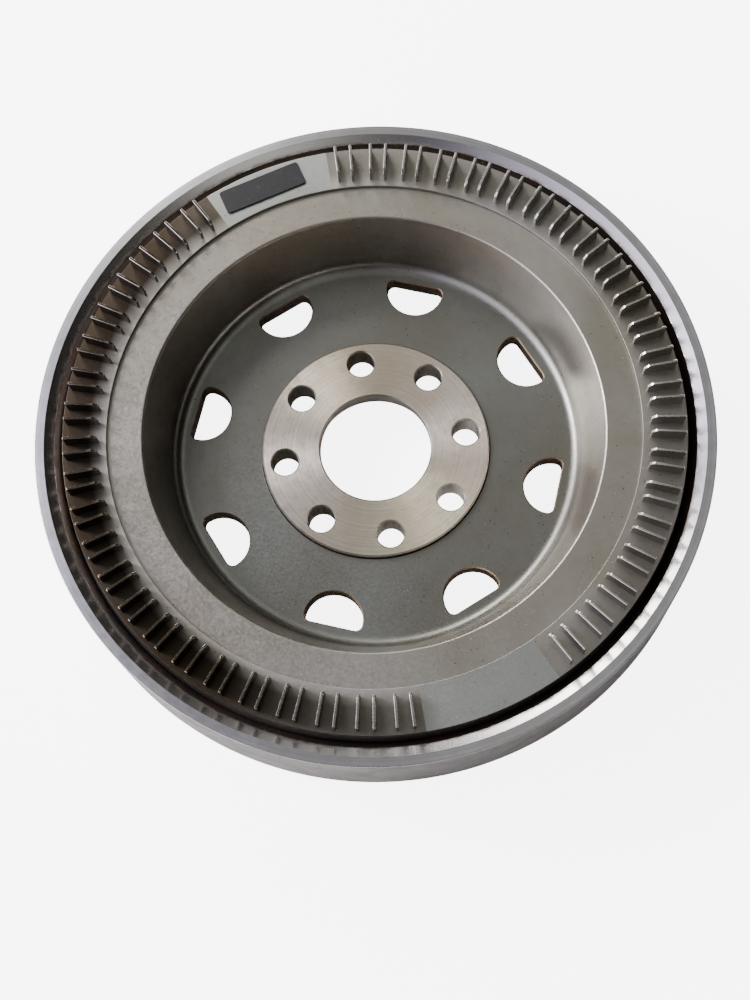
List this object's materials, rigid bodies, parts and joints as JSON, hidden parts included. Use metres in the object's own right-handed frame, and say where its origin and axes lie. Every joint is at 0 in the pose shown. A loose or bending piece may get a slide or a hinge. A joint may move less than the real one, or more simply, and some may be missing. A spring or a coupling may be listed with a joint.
{
  "type": "dual-mass flywheel",
  "caption": "Dual-mass flywheel with a deep open dish, finned front ring, heavy rim, enclosed arc springs and a sprung output ring.",
  "frame": {"origin": "on the rotation axis, at the level of the rear face that the part stands on", "axes": "+Z along the rotation axis towards the crankshaft side; +X through one crankshaft bolt hole and one lug of the output flange"},
  "size_m": [0.2986, 0.2986, 0.0629],
  "materials": {
    "pressed_steel": "pressed and lightly oiled, matte grey-brown with an olive tint",
    "fin_sheet": "thin sheet, matte, with bright sheared edges",
    "turned_steel": "face-turned, bright, with fine ring marks",
    "rim_steel": "turned on its face, dull olive on its outer wall",
    "gear_steel": "machined and oiled, dark",
    "spring_steel": "dark, greased",
    "bearing_bronze": "bored, satin",
    "friction_polymer": "moulded, matte",
    "label_paint": "plain dark plate, blank"
  },
  "bodies": {
    "primary": {"primary_plate": "pressed_steel", "crank_hub": "turned_steel", "rim_ring": "rim_steel", "starter_ring_gear": "gear_steel", "cooling_fin_ring": "fin_sheet", "data_label": "label_paint", "channel_cover": "pressed_steel", "balance_weight_1": "gear_steel", "balance_weight_2": "gear_steel", "balance_weight_3": "gear_steel", "slide_shell_1": "spring_steel", "slide_shell_2": "spring_steel", "arc_spring_1": "spring_steel", "arc_spring_2": "spring_steel", "spring_stop_front_1": "gear_steel", "spring_stop_front_2": "gear_steel", "spring_stop_rear_1": "gear_steel", "spring_stop_rear_2": "gear_steel", "front_grease_seal": "spring_steel", "rear_grease_seal": "spring_steel", "bearing_carrier": "gear_steel", "bearing_bush": "bearing_bronze", "friction_washer": "friction_polymer", "cup_spring": "spring_steel", "retaining_ring": "spring_steel"},
    "output": {"output_flange": "gear_steel", "output_ring": "gear_steel", "flange_rivet_1": "turned_steel", "flange_rivet_2": "turned_steel", "flange_rivet_3": "turned_steel", "flange_rivet_4": "turned_steel", "flange_rivet_5": "turned_steel", "flange_rivet_6": "turned_steel", "drive_dowel_1": "turned_steel", "drive_dowel_2": "turned_steel", "drive_dowel_3": "turned_steel"}
  },
  "joints": [
    {"name": "output_swing", "type": "hinge", "parent": "primary", "child": "output", "pos_m": [0, 0, 0.01], "axis": [0, 0, 1], "range_deg": [-55, 55], "stiffness_Nm_per_rad": 20, "deforming": ["arc_spring_1", "arc_spring_2"]}
  ]
}
